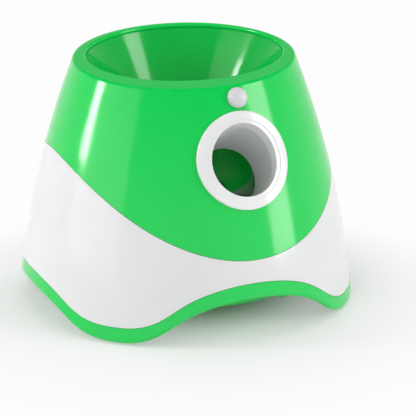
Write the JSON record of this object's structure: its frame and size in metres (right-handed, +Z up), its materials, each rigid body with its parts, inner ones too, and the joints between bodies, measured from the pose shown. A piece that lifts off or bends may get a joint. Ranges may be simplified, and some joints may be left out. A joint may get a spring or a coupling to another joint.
{
  "type": "automatic dog ball launcher",
  "caption": "Round-bodied ball launcher for dogs with a slanted hopper, an angled launch tube behind a ring, and a motor-wound spring plunger inside.",
  "frame": {"origin": "on the standing surface, on the axis of the round body", "axes": "+Z up, -Y towards the side the ball leaves from, +X to the right seen from behind"},
  "size_m": [0.2818, 0.2794, 0.2231],
  "materials": {
    "green_shell": "glossy moulded ABS",
    "white_shell": "glossy moulded ABS",
    "battery_cover": "satin moulded ABS",
    "grey_abs": "fine matt grain",
    "buttons": "satin",
    "lens": "milky, slightly translucent polyethylene",
    "clear_guide": "clear moulded plastic",
    "lamps": "clear diffusing plastic",
    "rubber": "matt",
    "steel": "zinc plated",
    "motor_steel": "drawn steel can",
    "gear_plastic": "natural acetal, satin",
    "brass": "turned",
    "frame_plastic": "satin black ABS",
    "cells": "plain sleeved cell",
    "board": "solder mask",
    "components": "moulded"
  },
  "bodies": {
    "housing": {"top_shell": "green_shell", "hopper_bowl": "green_shell", "base_band": "green_shell", "feed_chute": "green_shell", "base_pan": "green_shell", "lower_shell": "white_shell", "exit_bezel": "white_shell", "launch_barrel": "white_shell", "control_panel": "grey_abs", "barrel_cradle": "grey_abs", "sensor_lens": "lens", "ball_guide": "clear_guide", "indicator_lamps": "lamps", "foot_pads": "rubber", "case_screws": "steel", "barrel_screws": "steel", "launch_spring": "steel", "winding_shaft": "steel", "second_shaft": "steel", "first_shaft": "steel", "sensor_can": "steel", "battery_contacts": "steel", "drive_motor": "motor_steel", "rod_guide": "gear_plastic", "gearbox_left_plate": "frame_plastic", "gearbox_right_plate": "frame_plastic", "gearbox_spacers": "frame_plastic", "battery_cells": "cells", "sensor_board": "board", "control_board": "board", "main_board": "board", "board_parts": "components", "warning_buzzer": "components", "power_inlet": "components"},
    "plunger": {"plunger_head": "green_shell", "plunger_rod": "gear_plastic"},
    "winding": {"winding_gear": "gear_plastic"},
    "second": {"second_gear": "gear_plastic"},
    "first": {"first_gear": "gear_plastic"},
    "motor_rotor": {"motor_pinion": "brass", "motor_shaft": "steel"},
    "power_key": {"power_button": "buttons"},
    "distance_key": {"distance_button": "buttons"},
    "battery_cover": {"battery_door": "battery_cover"}
  },
  "joints": [
    {"name": "plunger_slide", "type": "slide", "parent": "housing", "child": "plunger", "axis": [0, 0.8387, -0.5446], "range_m": [-0.0377, 0], "deforming": ["launch_spring"]},
    {"name": "winding_gear_spin", "type": "hinge", "parent": "housing", "child": "winding", "pos_m": [0, 0.0025, 0.08352], "axis": [1, 0, 0], "range_deg": [-135.01, 0]},
    {"name": "second_gear_spin", "type": "hinge", "parent": "housing", "child": "second", "pos_m": [0, 0.02431, 0.06936], "axis": [1, 0, 0], "range_deg": [0, 450.05]},
    {"name": "first_gear_spin", "type": "hinge", "parent": "housing", "child": "first", "pos_m": [0, 0.04805, 0.06585], "axis": [1, 0, 0], "range_deg": [-1350.1, 0]},
    {"name": "motor_spin", "type": "hinge", "parent": "housing", "child": "motor_rotor", "pos_m": [0, 0.0707, 0.06186], "axis": [1, 0, 0], "range_deg": [0, 4860.5]},
    {"name": "power_button_press", "type": "slide", "parent": "housing", "child": "power_key", "axis": [0, -1, 0], "range_m": [0, 0.0012], "stiffness_N_per_m": 400},
    {"name": "distance_button_press", "type": "slide", "parent": "housing", "child": "distance_key", "axis": [0, -1, 0], "range_m": [0, 0.0012], "stiffness_N_per_m": 400},
    {"name": "battery_door_hinge", "type": "hinge", "parent": "housing", "child": "battery_cover", "pos_m": [-0.03315, 0, 0.01925], "axis": [0, -1, 0], "range_deg": [0, 85]}
  ],
  "couplings": [
    {"joint": "winding_gear_spin", "follows": "plunger_slide", "rad_per_m": 62.5},
    {"joint": "second_gear_spin", "follows": "plunger_slide", "rad_per_m": -208.33},
    {"joint": "first_gear_spin", "follows": "plunger_slide", "rad_per_m": 625},
    {"joint": "motor_spin", "follows": "plunger_slide", "rad_per_m": -2250}
  ]
}
